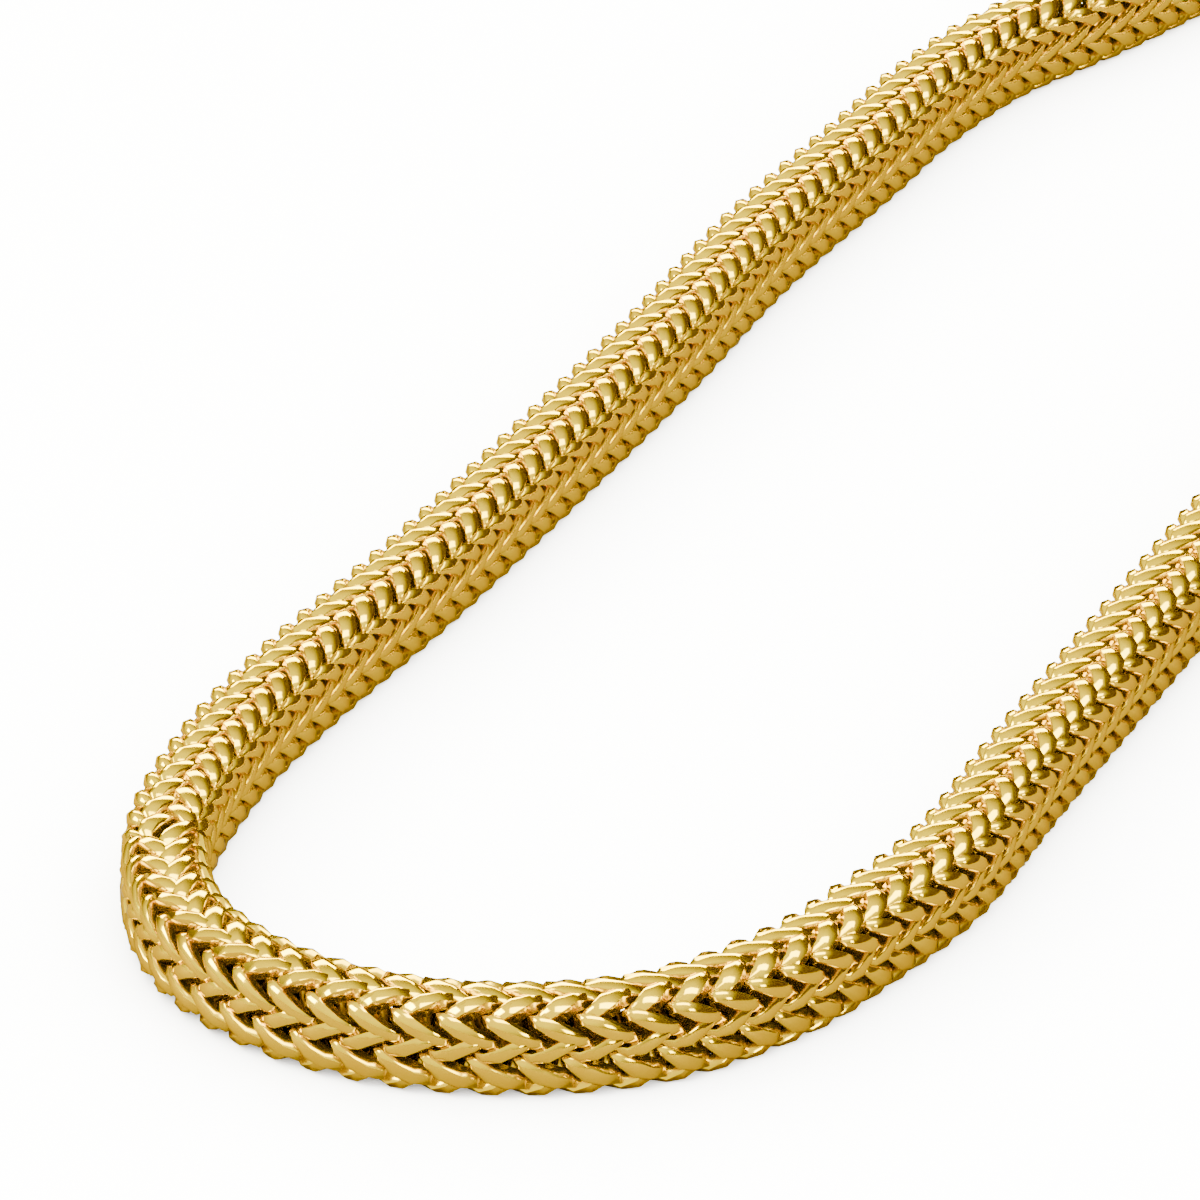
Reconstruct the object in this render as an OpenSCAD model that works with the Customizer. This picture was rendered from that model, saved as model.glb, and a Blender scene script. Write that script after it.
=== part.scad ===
/* [Chain] */
// Width of the chain as it lies, in millimetres
chain_w = 4.7; // [4:0.1:6]
// Height of the chain as it lies
chain_h = 5.3; // [4:0.1:6.2]
// Squareness of the section: 2 is an oval, 6 is nearly a rectangle
squareness = 4; // [2:0.5:6]
// Depth of the grooves between the ridges, as a share of the height
groove_share = 0.06; // [0.02:0.01:0.1]
// Turn of the ridges about the chain's own axis in the front bend, in degrees
front_turn = 15; // [0:1:30]
// Further turn of the ridges along the left run, in degrees
left_twist = -30; // [-40:1:0]
// Rings that the swept body is made of
ring_count = 78; // [48:1:90]

/* [Clasp] */
// Width of the clasp across the chain, in millimetres
clasp_w = 6.4; // [6.1:0.1:8]
// Height of the clasp above the surface
clasp_h = 5.9; // [5.7:0.1:7.5]
// Length of each end collar
collar_length = 3.6; // [2:0.1:5]
// How far the waist between the collars is narrower, on each side
waist_inset = 0.5; // [0.2:0.1:0.8]
// Radius of the clasp's long edges
clasp_edge_r = 1.4; // [0.6:0.1:2]

/* [Hidden] */
gold = [0.86, 0.66, 0.27];
ridges = 6;
section_points = 24;
groove_depth = groove_share * chain_h;

// Centre line on the surface, by hand: from the clasp down the left run, round the
// front bend, up the right run and round the far end, back to the clasp.
route = [
    [63, 124], [57, 116], [49, 106], [40, 95.5], [32, 85.5],
    [25, 77.5], [20, 68.8], [16.6, 61], [9.6, 45.4], [3.6, 29.3],
    [-3, 13], [-9.9, -3.4], [-16.4, -17.4], [-20.6, -28.2],
    [-23.2, -39.8], [-22.2, -49.8], [-17.8, -57], [-11.4, -61.3],
    [-4, -62.6], [3.2, -61], [9.6, -56], [14.2, -49.8],
    [18.8, -42], [23.5, -29.4], [31.8, -8], [40, 13],
    [49, 36], [59, 59], [70, 81], [80, 100],
    [89, 117], [96, 130], [101, 141], [100, 151],
    [91, 155], [81, 148], [75, 140]
];
spans = len(route) - 1;
// Stretch of the route, counted in its points, where the left run's turn dies out
twist_from = 12;
twist_to = 17;

// The first and last two points lie on one line, so the clasp's stretch is straight.
function route_at(i) = route[(i + spans + 1) % (spans + 1)];
function curve_point(a, b, c, d, u) =
    0.5 * (2 * b + (c - a) * u + (2 * a - 5 * b + 4 * c - d) * u * u
    + (3 * b - a - 3 * c + d) * u * u * u);
function curve_slope(a, b, c, d, u) =
    0.5 * ((c - a) + 2 * (2 * a - 5 * b + 4 * c - d) * u
    + 3 * (3 * b - a - 3 * c + d) * u * u);
function span_of(s) = min(floor(s), spans - 1);
function centre(s) =
    let (i = span_of(s))
    curve_point(route_at(i - 1), route_at(i), route_at(i + 1), route_at(i + 2), s - i);
function heading(s) =
    let (i = span_of(s))
    let (t = curve_slope(route_at(i - 1), route_at(i), route_at(i + 1), route_at(i + 2), s - i))
    t / norm(t);

// Ridge turn along the route, easing from the left run's value to the front bend's
function ease(u) = u * u * (3 - 2 * u);
function turn_at(s) =
    front_turn + left_twist * (1 - ease(min(max((s - twist_from) / (twist_to - twist_from), 0), 1)));

// Squarish section that lies on a flat side: its radius at an angle from the level
function outline_r(b) =
    pow(pow(abs(cos(b)) * 2 / chain_w, squareness) + pow(abs(sin(b)) * 2 / chain_h, squareness),
        -1 / squareness);
// The same with its grooves, at an angle measured from a ridge
function section_r(a, turn) = outline_r(a + turn) - groove_depth * (1 - cos(ridges * a)) / 2;
section_angles = [for (j = [0 : section_points - 1]) 360 * j / section_points];
// Height of the centre line, so that the lowest ridge touches the surface
lift = max([for (a = section_angles) -section_r(a, front_turn) * sin(a + front_turn)]);

function ring(s) =
    let (c = centre(s), t = heading(s), outward = [t.y, -t.x], turn = turn_at(s))
    [for (a = section_angles)
        let (r = section_r(a, turn), side = r * cos(a + turn), up = r * sin(a + turn))
        [c.x - outward.x * side, c.y - outward.y * side, max(lift + up, 0)]];
rings = [for (k = [0 : ring_count - 1]) ring(spans * k / (ring_count - 1))];
body_points = [for (r = rings) each r];

// The origin is under the middle of the loop.
xs = [for (p = body_points) p.x];
ys = [for (p = body_points) p.y];
middle = [(min(xs) + max(xs)) / 2, (min(ys) + max(ys)) / 2, 0];

loop_length = [for (k = 1, sum = 0; k <= 400; sum = sum
    + norm(centre(spans * k / 400) - centre(spans * (k - 1) / 400)), k = k + 1) sum];
echo(loop_length = loop_length[399], clasp_length = norm(route[spans] - route[0]));

module franco_chain() {
    n = section_points;
    last = (ring_count - 1) * n;
    sides = [for (k = [0 : ring_count - 2], j = [0 : n - 1])
        each [[k * n + j, k * n + (j + 1) % n, (k + 1) * n + (j + 1) % n],
            [k * n + j, (k + 1) * n + (j + 1) % n, (k + 1) * n + j]]];
    start_cap = [[for (j = [n - 1 : -1 : 0]) j]];
    end_cap = [[for (j = [0 : n - 1]) last + j]];
    color(gold)
        translate(-middle)
        polyhedron(body_points, concat(start_cap, sides, end_cap), convexity = 10);
}

// A plain bar with a collar at each end, closed on the two chain ends
module clasp_outline(inset) {
    translate([-clasp_w / 2 + clasp_edge_r + inset, clasp_edge_r + inset])
        square([clasp_w - 2 * clasp_edge_r - 2 * inset, clasp_h - 2 * clasp_edge_r - 2 * inset]);
}

module clasp_bar(length, inset) {
    linear_extrude(length)
        offset(r = clasp_edge_r, $fn = 24)
        clasp_outline(inset);
}

module clasp() {
    from = route[spans];
    to = route[0];
    length = norm(to - from);
    bearing = atan2(to.y - from.y, to.x - from.x);
    color(gold)
        translate([from.x, from.y, 0] - middle)
        rotate([0, 0, bearing])
        rotate([90, 0, 90]) {
            clasp_bar(collar_length, 0);
            translate([0, 0, length - collar_length])
                clasp_bar(collar_length, 0);
            clasp_bar(length, waist_inset);
        }
}

franco_chain();
clasp();
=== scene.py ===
from bisect import bisect_left
from math import atan2, cos, degrees, floor, radians, sin, sqrt

import bmesh
import bpy
from mathutils import Matrix, Vector


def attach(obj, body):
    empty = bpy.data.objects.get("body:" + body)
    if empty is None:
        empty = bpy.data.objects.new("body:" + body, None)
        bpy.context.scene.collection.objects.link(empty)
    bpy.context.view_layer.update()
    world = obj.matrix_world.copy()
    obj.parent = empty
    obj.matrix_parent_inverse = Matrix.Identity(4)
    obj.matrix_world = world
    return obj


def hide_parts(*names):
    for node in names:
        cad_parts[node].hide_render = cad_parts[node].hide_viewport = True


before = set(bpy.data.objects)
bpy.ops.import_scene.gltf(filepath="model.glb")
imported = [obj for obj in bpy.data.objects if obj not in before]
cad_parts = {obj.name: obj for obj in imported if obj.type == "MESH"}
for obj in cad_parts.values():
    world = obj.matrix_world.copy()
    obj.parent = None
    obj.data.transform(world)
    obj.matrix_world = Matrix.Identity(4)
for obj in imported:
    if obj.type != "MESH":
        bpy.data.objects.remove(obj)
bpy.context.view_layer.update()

mm = 0.001               # sizes below are in millimetres, meshes in metres
bodyName = "root"

# The chain's centre line on the surface, the same points as in the CAD part.
chainRoute = {
    "points": [
        (63, 124), (57, 116), (49, 106), (40, 95.5), (32, 85.5),
        (25, 77.5), (20, 68.8), (16.6, 61), (9.6, 45.4), (3.6, 29.3),
        (-3, 13), (-9.9, -3.4), (-16.4, -17.4), (-20.6, -28.2),
        (-23.2, -39.8), (-22.2, -49.8), (-17.8, -57), (-11.4, -61.3),
        (-4, -62.6), (3.2, -61), (9.6, -56), (14.2, -49.8),
        (18.8, -42), (23.5, -29.4), (31.8, -8), (40, 13),
        (49, 36), (59, 59), (70, 81), (80, 100),
        (89, 117), (96, 130), (101, 141), (100, 151),
        (91, 155), (81, 148), (75, 140),
    ],
    "samplesPerSpan": 40,
    "frontTurn": 15,         # degrees, where the ridges sit in the front bend
    "leftTwist": -30,        # degrees more along the left run
    "twistSpan": (12, 17),   # route points between which that turn dies out
    "middle": (39.0725, 46.0211),   # middle of the loop, which is the part's origin
    "width": 4.7,
    "height": 5.3,
    "squareness": 4,
    "lift": 2.6445,          # height of the centre line
    "topRowShift": 16,       # degrees, for the row next to the top corner
    "shiftSpan": (60, 270),  # degrees from that corner at which the shift is largest and gone
}


def curvePoint(a, b, c, d, u):
    return 0.5 * (2 * b + (c - a) * u + (2 * a - 5 * b + 4 * c - d) * u * u
                  + (3 * b - a - 3 * c + d) * u * u * u)


def sampleRoute(route):
    points = [Vector(p) for p in route["points"]]
    count = len(points)
    spans = count - 1
    steps = spans * route["samplesPerSpan"]
    samples = []
    for k in range(steps + 1):
        s = spans * k / steps
        i = min(floor(s), spans - 1)
        a, b, c, d = (points[(i + j) % count] for j in (-1, 0, 1, 2))
        samples.append((s, curvePoint(a, b, c, d, s - i) - Vector(route["middle"])))
    return samples


def alongRoute(samples, spacing, inset):
    # how far apart links lie that are spread evenly along the route, their count, and a
    # function that gives the route position and the point at a distance
    lengths = [0.0]
    for k in range(1, len(samples)):
        lengths.append(lengths[-1] + (samples[k][1] - samples[k - 1][1]).length)
    total = lengths[-1]
    count = round((total - 2 * inset) / spacing)
    step = (total - 2 * inset) / count

    def place(distance):
        distance = min(max(distance, 0.0), total)
        k = bisect_left(lengths, distance, 1)
        share = (distance - lengths[k - 1]) / (lengths[k] - lengths[k - 1])
        point = samples[k - 1][1].lerp(samples[k][1], share)
        s = samples[k - 1][0] + share * (samples[k][0] - samples[k - 1][0])
        return s, point

    return step, count, place


def twistShare(s, route):
    # 0 along the left run, 1 in the front bend and after it
    first, last = route["twistSpan"]
    return min(max((s - first) / (last - first), 0), 1)


def ridgeTurn(s, route):
    u = twistShare(s, route)
    return route["frontTurn"] + route["leftTwist"] * (1 - u * u * (3 - 2 * u))


def rowShift(angle, s, route):
    # The rows on top are wider than those beside the surface: how far round a row moves, in
    # degrees. It starts at the top corner that faces the eye, which changes in the left bend.
    u = twistShare(s, route)
    peak, end = route["shiftSpan"]
    outerCorner = (135 - angle) % 360
    innerCorner = (angle - 45) % 360
    shift = 0
    for share, distance in ((u, outerCorner), (u - 1, innerCorner)):
        if distance < peak:
            shift -= share * route["topRowShift"] * distance / peak
        elif distance < end:
            shift -= share * route["topRowShift"] * (end - distance) / (end - peak)
    return shift


def sectionRadius(angle, route):
    # the chain's squarish outline: its radius at an angle from the level
    p = route["squareness"]
    flat = abs(cos(angle)) * 2 / route["width"]
    upright = abs(sin(angle)) * 2 / route["height"]
    return (flat ** p + upright ** p) ** (-1 / p)


# One bent link: a closed wire with a lobe on two opposite ridges. Each row is a station:
# outwards, sideways, along, thickness. The first limb starts on top of the ridge line,
# the second comes out from under the link before it.
link = {
    "pitch": 2.265,
    "families": 3,
    "endInset": 0.7,
    "flipAt": 14.2,          # route position where the rows turn to point the other way
    "roundRadius": 2.84,     # the lobes are drawn on a round section, then fitted to the chain's
    "filedShare": 1.045,     # the crests are filed flat at this share of the chain's section
    "core": (0.0, 0.75, -1.75, 0.6),
    "lobe": [
        (1.30, 0.92, -1.42, 0.76),
        (1.98, 1.12, -1.06, 1.02),
        (2.26, 0.95, -0.38, 1.20),
        (2.42, 0.58, 0.42, 1.24),
        (2.34, 0.16, 1.10, 1.00),
        (2.08, -0.10, 1.56, 0.62),
        (1.80, -0.22, 1.60, 0.40),
        (1.85, -0.28, 1.20, 0.50),
        (2.26, -0.32, 0.64, 0.98),
        (2.43, -0.62, 0.04, 1.26),
        (2.28, -0.98, -0.66, 1.22),
        (1.98, -1.12, -1.28, 1.02),
        (1.30, -0.92, -1.60, 0.76),
    ],
    "wireHalfWidth": 0.49,
    "wireHalfHeight": 0.52,
    # the wire's cut section: across and outwards, as shares of the two sizes above
    "section": [(-1.0, -0.45), (-0.70, 0.45), (0.0, 1.0), (0.70, 0.45), (1.0, -0.45)],
    "creases": (1, 3),              # the corners of the section that run as crisp lines
    "shade": (0.6, 0.04, 0.0, 0.04, 0.6),   # painted shade: how brown each corner is, down the sides
    "paintedShadeRadii": (1.4, 2.2),      # painted shade: between these distances from the axis the metal darkens
}


def linkPath():
    # the closed loop of stations; the second lobe is the first turned half round
    half = [link["core"]] + link["lobe"]
    turned = [(-x, -y, z, w) for x, y, z, w in half]
    return [(Vector(row[:3]), row[3]) for row in half + turned]


def buildLink():
    bm = bmesh.new()
    path = linkPath()
    count = len(path)
    # painted shade on each vertex: brown between the links near the axis, and down the sides of the
    # wire
    paintedShade = bm.verts.layers.float.new("paintedShade")
    deep, shallow = link["paintedShadeRadii"]
    first = previous = None
    crest = []
    for i, (p, thickness) in enumerate(path):
        along = (path[(i + 1) % count][0] - path[i - 1][0]).normalized()
        outward = Vector((p.x, p.y, 0))
        outward = (outward - along * outward.dot(along)).normalized()
        sideways = along.cross(outward)
        matrix = Matrix.Translation(p) @ Matrix((sideways, outward, along)).transposed().to_4x4()
        ring = bmesh.ops.create_circle(bm, segments=len(link["section"]), radius=1.0)["verts"]
        for vert, (x, y), shade in zip(ring, link["section"], link["shade"]):
            width = link["wireHalfWidth"] * thickness * x
            height = link["wireHalfHeight"] * thickness * y
            vert.co = matrix @ Vector((width, height, 0))
            radius = sqrt(vert.co.x ** 2 + vert.co.y ** 2)
            vert[paintedShade] = max(min((shallow - radius) / (shallow - deep), 1), shade)
        crest += [ring[k] for k in link["creases"]]
        edges = [e for e in bm.edges if e.verts[0] in ring and e.verts[1] in ring]
        if previous:
            bmesh.ops.bridge_loops(bm, edges=previous + edges)
        else:
            first = edges
        previous = edges
    bmesh.ops.bridge_loops(bm, edges=previous + first)
    for face in bm.faces:
        face.smooth = True
    crest = set(crest)
    for edge in bm.edges:
        edge.smooth = not (edge.verts[0] in crest and edge.verts[1] in crest)
    bmesh.ops.scale(bm, vec=(mm, mm, mm), verts=bm.verts)
    bmesh.ops.recalc_face_normals(bm, faces=bm.faces)
    mesh = bpy.data.meshes.new("linkShape")
    bm.to_mesh(mesh)
    bm.free()
    print("link", len(mesh.polygons), "faces")
    return mesh


def makePiece(bm, name):
    bmesh.ops.recalc_face_normals(bm, faces=bm.faces)
    mesh = bpy.data.meshes.new(name)
    bm.to_mesh(mesh)
    bm.free()
    piece = bpy.data.objects.new(name, mesh)
    bpy.context.scene.collection.objects.link(piece)
    print(name, len(mesh.polygons), "faces")
    return piece


def buildChain(shape):
    samples = sampleRoute(chainRoute)
    step, count, place = alongRoute(samples, link["pitch"], link["endInset"])
    pieces = []
    for family in range(link["families"]):
        bm = bmesh.new()
        for k in range(count):
            phase = (link["families"] - family - 0.5) / link["families"]
            distance = link["endInset"] + step * (k + phase)
            s, point = place(distance)
            before, after = place(distance - 1.0)[1], place(distance + 1.0)[1]
            heading = (after - before).normalized()
            along = Vector((heading.x, heading.y, 0))
            inward = Vector((-heading.y, heading.x, 0))
            start = len(bm.verts)
            bm.from_mesh(shape)
            bm.verts.ensure_lookup_table()
            verts = bm.verts[start:]
            if s >= link["flipAt"]:
                bmesh.ops.scale(bm, vec=(1, 1, -1), verts=verts)
            turn = ridgeTurn(s, chainRoute) + 180 * family / link["families"]
            bmesh.ops.rotate(bm, matrix=Matrix.Rotation(radians(turn), 3, "Z"), verts=verts)
            for vert in verts:
                angle = atan2(vert.co.y, vert.co.x)
                angle += radians(rowShift(degrees(angle), s, chainRoute))
                reach = sectionRadius(angle, chainRoute)
                radius = vert.co.xy.length * reach / link["roundRadius"]
                radius = min(radius, reach * link["filedShare"] * mm)
                vert.co.x = radius * cos(angle)
                vert.co.y = radius * sin(angle)
            stand = Matrix((inward, Vector((0, 0, 1)), along)).transposed().to_4x4()
            where = Matrix.Translation(Vector((point.x, point.y, chainRoute["lift"])) * mm)
            bmesh.ops.transform(bm, matrix=where @ stand, verts=verts)
            for vert in verts:
                vert.co.z = max(vert.co.z, 0)
        pieces.append(makePiece(bm, "chainLinks" + "ABC"[family]))
    print("links in each family", count)
    return pieces


gold = {
    "bright": (1.0, 0.69, 0.0, 1),
    "deep": (1.0, 0.57, 0.0, 1),
    # the brown of the painted shade between the links and down the sides of each wire
    "paintedShade": (0.38, 0.19, 0.02, 1),
    "mirrored": (0.74, 0.60, 0.06, 1),  # gold as other gold mirrors it
    "edge": (1.0, 0.78, 0.05, 1),       # tint of the grazing reflection
    "roughness": 0.11,
    "variationScale": 900,
    "scratchScale": 5200,
    "scratchDepth": 0.05,
    "scratchHeight": 0.00003,           # metres
    "scratchStretch": 0.12,
    "scratchTurn": 28,                  # degrees
    "glossSpread": (0.75, 1.3),         # how far the roughness wanders, as shares of it
    "recessRoughness": 0.4,
}


def newSocket(group, name, direction, kind, value=None):
    socket = group.interface.new_socket(name=name, in_out=direction, socket_type=kind)
    if value is not None:
        socket.default_value = value
    return socket


def castVariationGroup():
    # slow changes of tone and gloss over the metal, as left by casting and polishing
    group = bpy.data.node_groups.new("castVariation", "ShaderNodeTree")
    newSocket(group, "Bright", "INPUT", "NodeSocketColor", gold["bright"])
    newSocket(group, "Deep", "INPUT", "NodeSocketColor", gold["deep"])
    newSocket(group, "Scale", "INPUT", "NodeSocketFloat", gold["variationScale"])
    newSocket(group, "Color", "OUTPUT", "NodeSocketColor")
    newSocket(group, "Mask", "OUTPUT", "NodeSocketFloat")
    nodes = group.nodes
    links = group.links
    given = nodes.new("NodeGroupInput")
    result = nodes.new("NodeGroupOutput")
    coordinates = nodes.new("ShaderNodeTexCoord")
    noise = nodes.new("ShaderNodeTexNoise")
    noise.inputs["Detail"].default_value = 3
    blend = nodes.new("ShaderNodeMix")
    blend.data_type = "RGBA"
    links.new(coordinates.outputs["Object"], noise.inputs["Vector"])
    links.new(given.outputs["Scale"], noise.inputs["Scale"])
    links.new(noise.outputs["Fac"], blend.inputs["Factor"])
    links.new(given.outputs["Deep"], blend.inputs["A"])
    links.new(given.outputs["Bright"], blend.inputs["B"])
    links.new(blend.outputs["Result"], result.inputs["Color"])
    links.new(noise.outputs["Fac"], result.inputs["Mask"])
    return group


def fineScratchGroup():
    # hairlines that polishing leaves: a height for the bump
    group = bpy.data.node_groups.new("fineScratches", "ShaderNodeTree")
    newSocket(group, "Scale", "INPUT", "NodeSocketFloat", gold["scratchScale"])
    newSocket(group, "Height", "OUTPUT", "NodeSocketFloat")
    nodes = group.nodes
    links = group.links
    given = nodes.new("NodeGroupInput")
    result = nodes.new("NodeGroupOutput")
    coordinates = nodes.new("ShaderNodeTexCoord")
    stretch = nodes.new("ShaderNodeMapping")
    stretch.inputs["Scale"].default_value = (1.0, gold["scratchStretch"], 1.0)
    stretch.inputs["Rotation"].default_value = (0, 0, radians(gold["scratchTurn"]))
    noise = nodes.new("ShaderNodeTexNoise")
    noise.inputs["Detail"].default_value = 2
    links.new(coordinates.outputs["Object"], stretch.inputs["Vector"])
    links.new(stretch.outputs["Vector"], noise.inputs["Vector"])
    links.new(given.outputs["Scale"], noise.inputs["Scale"])
    links.new(noise.outputs["Fac"], result.inputs["Height"])
    return group


def mirrorSwitch(nodes, links, plain, mirrored):
    # Gives one colour to the eye and to soft light, another to a mirror ray. Each is a
    # constant or another node's output.
    path = nodes.new("ShaderNodeLightPath")
    blend = nodes.new("ShaderNodeMix")
    blend.data_type = "RGBA"
    links.new(path.outputs["Is Glossy Ray"], blend.inputs["Factor"])
    for socket, colour in ((blend.inputs["A"], plain), (blend.inputs["B"], mirrored)):
        if isinstance(colour, tuple):
            socket.default_value = colour
        else:
            links.new(colour, socket)
    return blend.outputs["Result"]


castVariation = castVariationGroup()
fineScratches = fineScratchGroup()


def goldMaterial(name, roughness, scratchDepth, hasPaintedShade):
    material = bpy.data.materials.new(name)
    material.use_nodes = True
    nodes = material.node_tree.nodes
    links = material.node_tree.links
    shader = nodes["Principled BSDF"]
    shader.inputs["Metallic"].default_value = 1.0
    shader.inputs["Specular Tint"].default_value = gold["edge"]
    variation = nodes.new("ShaderNodeGroup")
    variation.node_tree = castVariation
    scratches = nodes.new("ShaderNodeGroup")
    scratches.node_tree = fineScratches
    gloss = nodes.new("ShaderNodeMapRange")
    gloss.inputs["To Min"].default_value = roughness * gold["glossSpread"][0]
    gloss.inputs["To Max"].default_value = roughness * gold["glossSpread"][1]
    links.new(variation.outputs["Mask"], gloss.inputs["Value"])
    bump = nodes.new("ShaderNodeBump")
    bump.inputs["Strength"].default_value = scratchDepth
    bump.inputs["Distance"].default_value = gold["scratchHeight"]
    links.new(scratches.outputs["Height"], bump.inputs["Height"])
    links.new(bump.outputs["Normal"], shader.inputs["Normal"])
    colour = variation.outputs["Color"]
    finish = gloss.outputs["Result"]
    if hasPaintedShade:
        # the metal deep between the links is dull and brown; the brown is painted shade, also laid
        # down the sides of each wire
        paintedShadeMask = nodes.new("ShaderNodeAttribute")
        paintedShadeMask.attribute_name = "paintedShade"
        tone = nodes.new("ShaderNodeMix")
        tone.data_type = "RGBA"
        tone.inputs["B"].default_value = gold["paintedShade"]
        dull = nodes.new("ShaderNodeMix")
        dull.inputs["B"].default_value = gold["recessRoughness"]
        links.new(paintedShadeMask.outputs["Fac"], tone.inputs["Factor"])
        links.new(colour, tone.inputs["A"])
        links.new(paintedShadeMask.outputs["Fac"], dull.inputs["Factor"])
        links.new(finish, dull.inputs["A"])
        colour = tone.outputs["Result"]
        finish = dull.outputs["Result"]
    seen = mirrorSwitch(nodes, links, colour, gold["mirrored"])
    links.new(seen, shader.inputs["Base Color"])
    links.new(finish, shader.inputs["Roughness"])
    return material


shape = buildLink()
linkPieces = buildChain(shape)
chainGold = goldMaterial("chainGold", gold["roughness"], gold["scratchDepth"], True)
for piece in linkPieces:
    piece.data.materials.append(chainGold)
    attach(piece, bodyName)
    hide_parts("franco_chain")

# The clasp: two turned collars, a waisted bar with a sunk panel, and a ribbed thumb piece.
# Sizes in millimetres: x runs along the clasp from the far chain end, y across, z up.
clasp = {
    "ends": ((75, 140), (63, 124)),     # on the same route as the chain
    "length": 20.0,
    "width": 6.4,
    "height": 5.9,
    "squareness": 3.6,
    "sides": 32,
    # the turned profile of a collar: place along it, how far it is cut in
    "collar": [
        (0.0, 0.75), (0.0, 0.34), (0.1, 0.12), (0.32, 0.0), (0.86, 0.0), (0.94, 0.16), (1.12, 0.16),
        (1.2, 0.0), (2.4, 0.0), (2.48, 0.16), (2.66, 0.16), (2.74, 0.0), (3.28, 0.0), (3.5, 0.12),
        (3.6, 0.34), (3.6, 0.75),
    ],
    "barFrom": 3.3,
    "barInset": 0.5,
    "barEdge": 0.9,
    "barEdgeSegments": 5,
    "flatNormal": 0.98,                 # faces that are this level or upright are shaded flat
    "panelInset": 0.55,
    "panelSlope": 0.12,
    "panelDepth": 0.16,
    "thumbSize": (4.6, 1.0, 1.7),
    "thumbRibs": 7,
    "thumbRibDepth": 0.14,
    "thumbSink": 0.02,
    "polish": 0.13,                     # roughness of the collars and the thumb piece
    "brushed": 0.3,                     # roughness of the bar, and its brush marks' depth
    "brushDepth": 0.35,
}


def claspPlace():
    start, end = (Vector(p) - Vector(chainRoute["middle"]) for p in clasp["ends"])
    along = (end - start).normalized()
    turn = Matrix((
        (along.x, -along.y, 0, start.x * mm),
        (along.y, along.x, 0, start.y * mm),
        (0, 0, 1, 0),
        (0, 0, 0, 1),
    ))
    return turn @ Matrix.Scale(mm, 4)


def buildCollar(bm, origin, direction):
    # a squarish ring is drawn out along the clasp, step by step, and narrowed at each step
    middle = Vector((0, 0, clasp["height"] / 2))
    ring = bmesh.ops.create_circle(bm, segments=clasp["sides"], radius=1.0)["verts"]
    p = clasp["squareness"]
    for vert in ring:
        y, z = vert.co.x, vert.co.y
        reach = (abs(y) ** p + abs(z) ** p) ** (-1 / p)
        across = y * reach * clasp["width"] / 2
        upward = z * reach * clasp["height"] / 2
        vert.co = Vector((origin, across, upward)) + middle
    edges = [e for e in bm.edges if e.verts[0] in ring and e.verts[1] in ring]
    firstLoop = edges
    space = Matrix.Translation(-middle)
    now, fitY, fitZ = 0, 1, 1
    for k, (place, inset) in enumerate(clasp["collar"]):
        if k > 0:
            grown = bmesh.ops.extrude_edge_only(bm, edges=edges)["geom"]
            ring = [g for g in grown if isinstance(g, bmesh.types.BMVert)]
            lines = [g for g in grown if isinstance(g, bmesh.types.BMEdge)]
            edges = [e for e in lines if e.verts[0] in ring and e.verts[1] in ring]
        nextY = (clasp["width"] - 2 * inset) / clasp["width"]
        nextZ = (clasp["height"] - 2 * inset) / clasp["height"]
        bmesh.ops.scale(bm, vec=(1, nextY / fitY, nextZ / fitZ), space=space, verts=ring)
        bmesh.ops.translate(bm, vec=((place - now) * direction, 0, 0), verts=ring)
        now, fitY, fitZ = place, nextY, nextZ
    bmesh.ops.contextual_create(bm, geom=firstLoop)
    bmesh.ops.contextual_create(bm, geom=edges)


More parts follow.
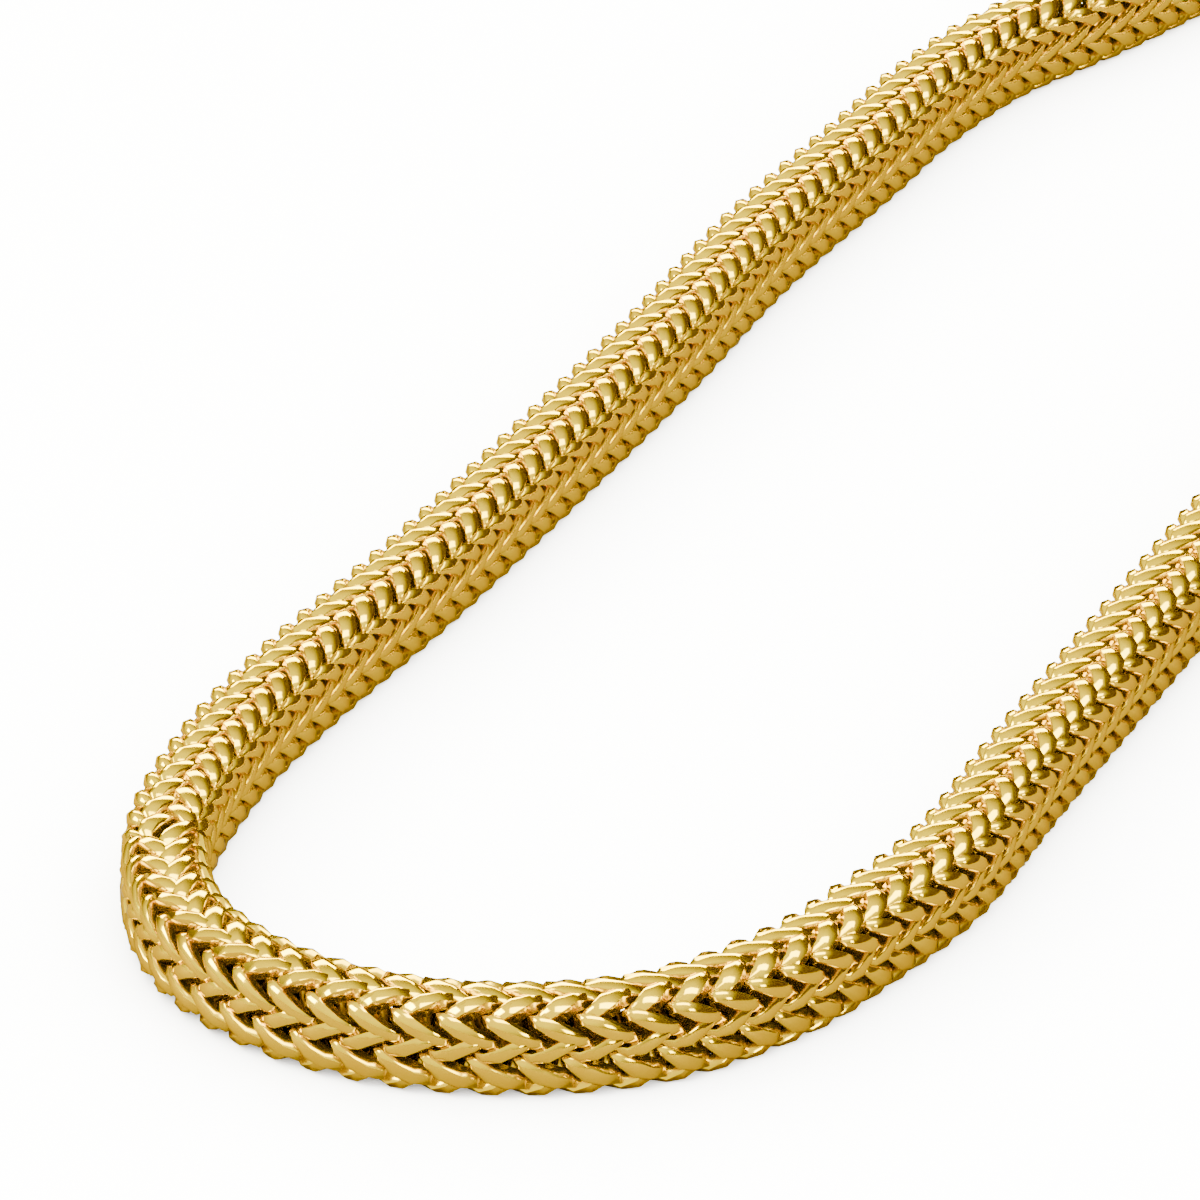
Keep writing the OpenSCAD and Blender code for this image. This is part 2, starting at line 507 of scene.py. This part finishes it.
def buildClasp():
    place = claspPlace()
    collars = bmesh.new()
    buildCollar(collars, 0, 1)
    buildCollar(collars, clasp["length"], -1)
    for face in collars.faces:
        face.smooth = len(face.verts) == 4
    bmesh.ops.transform(collars, matrix=place, verts=collars.verts)
    collarPiece = makePiece(collars, "claspCollars")

    bar = bmesh.new()
    inset = clasp["barInset"]
    length = clasp["length"] - 2 * clasp["barFrom"]
    size = Vector((length, clasp["width"] - 2 * inset, clasp["height"] - 2 * inset))
    bmesh.ops.create_cube(bar, size=1.0)
    bmesh.ops.scale(bar, vec=size, verts=bar.verts)
    longEdges = [e for e in bar.edges if abs((e.verts[0].co - e.verts[1].co).x) > length / 2]
    bmesh.ops.bevel(bar, geom=longEdges, offset=clasp["barEdge"], offset_type="OFFSET",
                    segments=clasp["barEdgeSegments"], profile=0.5, affect="EDGES", material=-1)
    top = [max(bar.faces, key=lambda f: f.calc_center_median().z)]
    bmesh.ops.inset_region(bar, faces=top, thickness=clasp["panelInset"], use_even_offset=True)
    bmesh.ops.inset_region(bar, faces=top, thickness=clasp["panelSlope"], use_even_offset=True)
    bmesh.ops.translate(bar, vec=(0, 0, -clasp["panelDepth"]), verts=top[0].verts)
    bmesh.ops.translate(bar, vec=(clasp["length"] / 2, 0, clasp["height"] / 2), verts=bar.verts)
    flat = clasp["flatNormal"]
    for face in bar.faces:
        x, y, z = (abs(n) for n in face.normal)
        face.smooth = z < flat and y < flat and x < 0.5
    bmesh.ops.transform(bar, matrix=place, verts=bar.verts)
    barPiece = makePiece(bar, "claspBar")

    thumb = bmesh.new()
    bmesh.ops.create_cube(thumb, size=1.0)
    bmesh.ops.scale(thumb, vec=clasp["thumbSize"], verts=thumb.verts)
    lengthwise = [e for e in thumb.edges if abs((e.verts[0].co - e.verts[1].co).x) > 1]
    bmesh.ops.subdivide_edges(thumb, edges=lengthwise, cuts=clasp["thumbRibs"] * 2 - 1)
    places = sorted({round(v.co.x, 4) for v in thumb.verts})
    for k, x in enumerate(places):
        row = [v for v in thumb.verts if abs(v.co.x - x) < 0.01 and v.co.y > 0]
        sink = clasp["thumbRibDepth"] if k % 2 == 0 else 0
        bmesh.ops.translate(thumb, vec=(0, -sink, 0), verts=row)
    bmesh.ops.translate(thumb, vec=(
        clasp["length"] / 2,
        clasp["width"] / 2 - clasp["thumbSize"][1] / 2 - clasp["thumbSink"],
        clasp["height"] / 2,
    ), verts=thumb.verts)
    bmesh.ops.transform(thumb, matrix=place, verts=thumb.verts)
    thumbPiece = makePiece(thumb, "claspThumbPiece")
    return collarPiece, barPiece, thumbPiece


collarPiece, barPiece, thumbPiece = buildClasp()
claspPolish = goldMaterial("claspPolish", clasp["polish"], gold["scratchDepth"], False)
claspBrushed = goldMaterial("claspBrushed", clasp["brushed"], clasp["brushDepth"], False)
collarPiece.data.materials.append(claspPolish)
barPiece.data.materials.append(claspBrushed)
thumbPiece.data.materials.append(claspPolish)
for piece in (collarPiece, barPiece, thumbPiece):
    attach(piece, bodyName)
    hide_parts("clasp")


# Floor, light and camera
stage = {
    "floorSize": 4.0,
    "floorRoughness": 0.7,
    "floorColour": (0.9, 0.9, 0.9, 1),
    "floorInGold": (0.064, 0.052, 0.034, 1),    # how bright the floor is where the metal mirrors it
    "softLight": 15.0,                      # the even light that falls on everything
    "mirrorTurn": (-25, 30, 0),             # degrees, how the mirrored sweep leans
    "mirrorSpan": (-0.1, 0.85),
    "mirroredLow": (0.08, 0.038, 0.01, 1),
    "mirroredHigh": (1.7, 1.82, 1.2, 1),
}


def buildFloor():
    bm = bmesh.new()
    bmesh.ops.create_grid(bm, x_segments=1, y_segments=1, size=stage["floorSize"] / 2)
    mesh = bpy.data.meshes.new("floor")
    bm.to_mesh(mesh)
    bm.free()
    floorPiece = bpy.data.objects.new("floor", mesh)
    bpy.context.scene.collection.objects.link(floorPiece)
    material = bpy.data.materials.new("floorWhite")
    material.use_nodes = True
    nodes = material.node_tree.nodes
    links = material.node_tree.links
    shader = nodes["Principled BSDF"]
    shader.inputs["Roughness"].default_value = stage["floorRoughness"]
    colour = mirrorSwitch(nodes, links, stage["floorColour"], stage["floorInGold"])
    links.new(colour, shader.inputs["Base Color"])
    mesh.materials.append(material)


def buildWorld():
    # an even white tent, with a dark to light sweep where the metal mirrors it
    world = bpy.data.worlds.new("studio")
    world.use_nodes = True
    nodes = world.node_tree.nodes
    links = world.node_tree.links
    backdrop = nodes["Background"]
    coordinates = nodes.new("ShaderNodeTexCoord")
    aim = nodes.new("ShaderNodeMapping")
    aim.inputs["Rotation"].default_value = [radians(a) for a in stage["mirrorTurn"]]
    parts = nodes.new("ShaderNodeSeparateXYZ")
    sweep = nodes.new("ShaderNodeMapRange")
    sweep.interpolation_type = "SMOOTHSTEP"
    sweep.inputs["From Min"].default_value = stage["mirrorSpan"][0]
    sweep.inputs["From Max"].default_value = stage["mirrorSpan"][1]
    tint = nodes.new("ShaderNodeMix")
    tint.data_type = "RGBA"
    tint.inputs["A"].default_value = stage["mirroredLow"]
    tint.inputs["B"].default_value = stage["mirroredHigh"]
    links.new(coordinates.outputs["Generated"], aim.inputs["Vector"])
    links.new(aim.outputs["Vector"], parts.inputs["Vector"])
    links.new(parts.outputs["Z"], sweep.inputs["Value"])
    links.new(sweep.outputs["Result"], tint.inputs["Factor"])
    even = stage["softLight"]
    colour = mirrorSwitch(nodes, links, (even, even, even, 1), tint.outputs["Result"])
    links.new(colour, backdrop.inputs["Color"])
    bpy.context.scene.world = world


# Softboxes that face the origin: name, place, width and height, watts
softboxes = {
    "colour": (0.95, 1.0, 0.75),
    "boxes": [
        ("overheadSoftbox", (0.0, -0.36, 0.78), (0.85, 0.45), 15),
        ("backSoftbox", (-0.15, 0.8, 0.40), (0.8, 0.26), 14),
        ("leftSoftbox", (-0.78, -0.1, 0.45), (0.45, 0.35), 13),
        ("frontSoftbox", (0.45, -0.75, 0.25), (0.25, 0.2), 2.6),
    ],
}


def buildLights():
    for name, place, size, power in softboxes["boxes"]:
        light = bpy.data.lights.new(name, "AREA")
        light.shape = "RECTANGLE"
        light.size = size[0]
        light.size_y = size[1]
        light.energy = power
        light.color = softboxes["colour"]
        lamp = bpy.data.objects.new(name, light)
        lamp.location = place
        lamp.rotation_euler = (-Vector(place)).to_track_quat("-Z", "Y").to_euler()
        bpy.context.scene.collection.objects.link(lamp)
        print("light", name)


camera = {
    "elevation": 24,
    "focalPixels": 12000,    # in pixels of the 1200 pixel wide photo
    "pixelsPerMm": 17.6,
    "photoWidth": 1200,
    "sensorWidth": 36,
    "clipEnd": 20,
    "target": (-39.0725, -46.79),
}


def buildCamera():
    data = bpy.data.cameras.new("camera")
    eye = bpy.data.objects.new("camera", data)
    data.sensor_width = camera["sensorWidth"]
    data.lens = camera["sensorWidth"] * camera["focalPixels"] / camera["photoWidth"]
    data.clip_end = camera["clipEnd"]
    distance = camera["focalPixels"] / camera["pixelsPerMm"] * mm
    elevation = radians(camera["elevation"])
    target = Vector((camera["target"][0] * mm, camera["target"][1] * mm, 0))
    eye.location = target + distance * Vector((0, -cos(elevation), sin(elevation)))
    eye.rotation_euler = (target - eye.location).to_track_quat("-Z", "Y").to_euler()
    bpy.context.scene.collection.objects.link(eye)
    bpy.context.scene.camera = eye


buildFloor()
buildWorld()
buildLights()
buildCamera()
